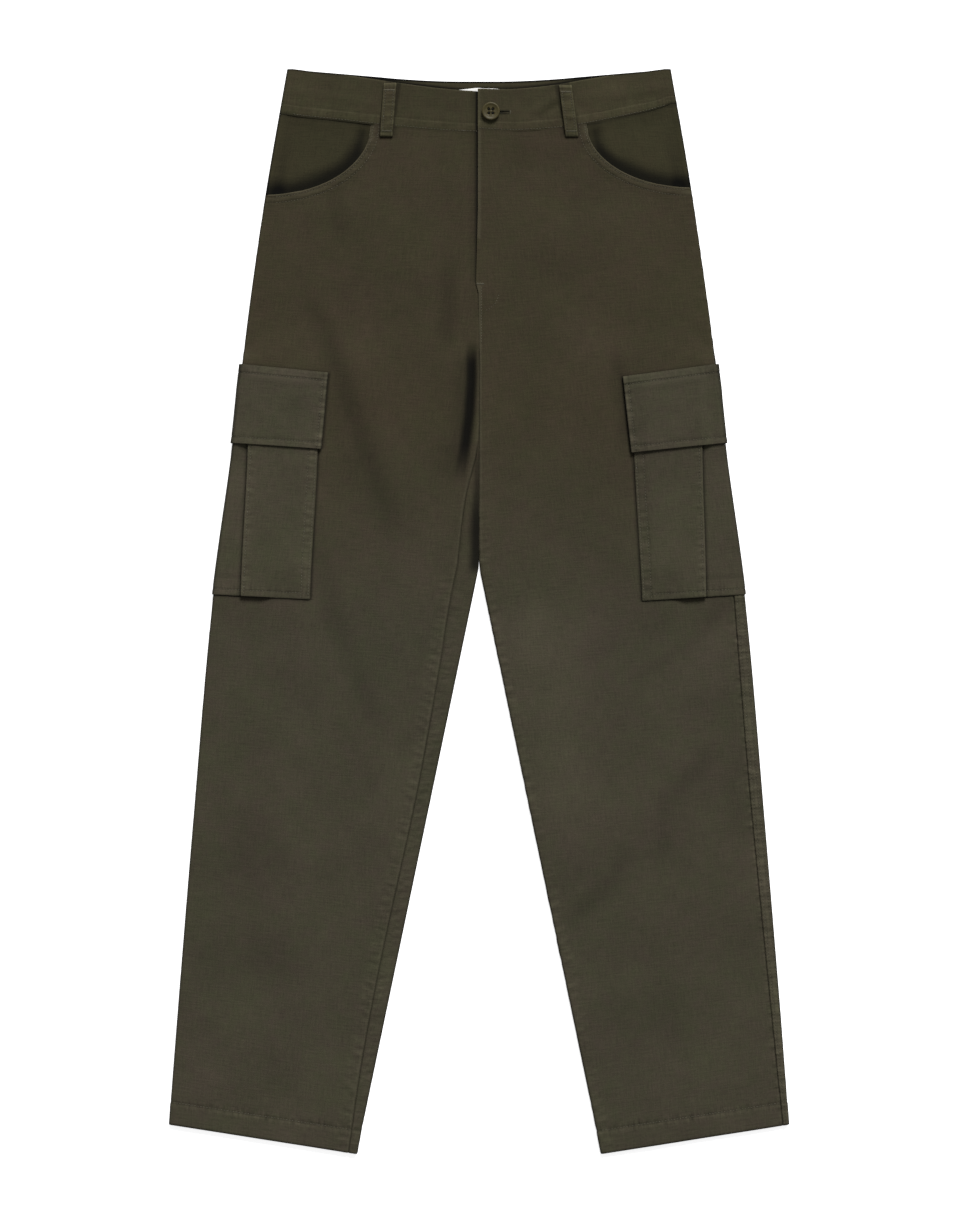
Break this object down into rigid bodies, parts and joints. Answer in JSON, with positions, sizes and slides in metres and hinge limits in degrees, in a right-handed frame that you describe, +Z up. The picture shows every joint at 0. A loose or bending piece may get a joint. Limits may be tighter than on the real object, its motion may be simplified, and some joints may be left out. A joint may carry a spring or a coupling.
{
  "type": "cargo trousers laid flat",
  "caption": "Straight-leg cargo trousers laid flat, front up, with curved hip pockets, flapped and pleated cargo pockets over the outseams, a buttoned waistband and turned hems.",
  "frame": {"origin": "centre of the footprint on the surface that the trousers lie on", "axes": "+Z up from the surface, through the back to the front of the trousers; +Y from the hems to the waist; +X towards the wearer's left side"},
  "size_m": [0.6204, 1.084, 0.0136],
  "materials": {
    "leg_twill": "matt garment-dyed cotton twill, dark olive",
    "band_twill": "matt garment-dyed cotton twill, a little darker",
    "facing_twill": "matt garment-dyed cotton twill, darkest",
    "pocket_twill": "matt garment-dyed cotton twill, a little paler",
    "button_resin": "satin khaki resin",
    "label_cloth": "white woven label, blank",
    "zip_tape": "olive woven zip tape with a plastic coil"
  },
  "bodies": {
    "root": {"front_left": "leg_twill", "front_right": "leg_twill", "back_left": "leg_twill", "back_right": "leg_twill", "waistband_front_left": "band_twill", "waistband_front_right": "band_twill", "waistband_back": "band_twill", "belt_loop_left": "band_twill", "belt_loop_right": "band_twill", "hip_facing_left": "facing_twill", "hip_facing_right": "facing_twill", "cargo_pocket_left": "pocket_twill", "cargo_pocket_right": "pocket_twill", "cargo_flap_left": "pocket_twill", "cargo_flap_right": "pocket_twill", "button": "button_resin", "label": "label_cloth", "fly_zip": "zip_tape"}
  },
  "joints": []
}
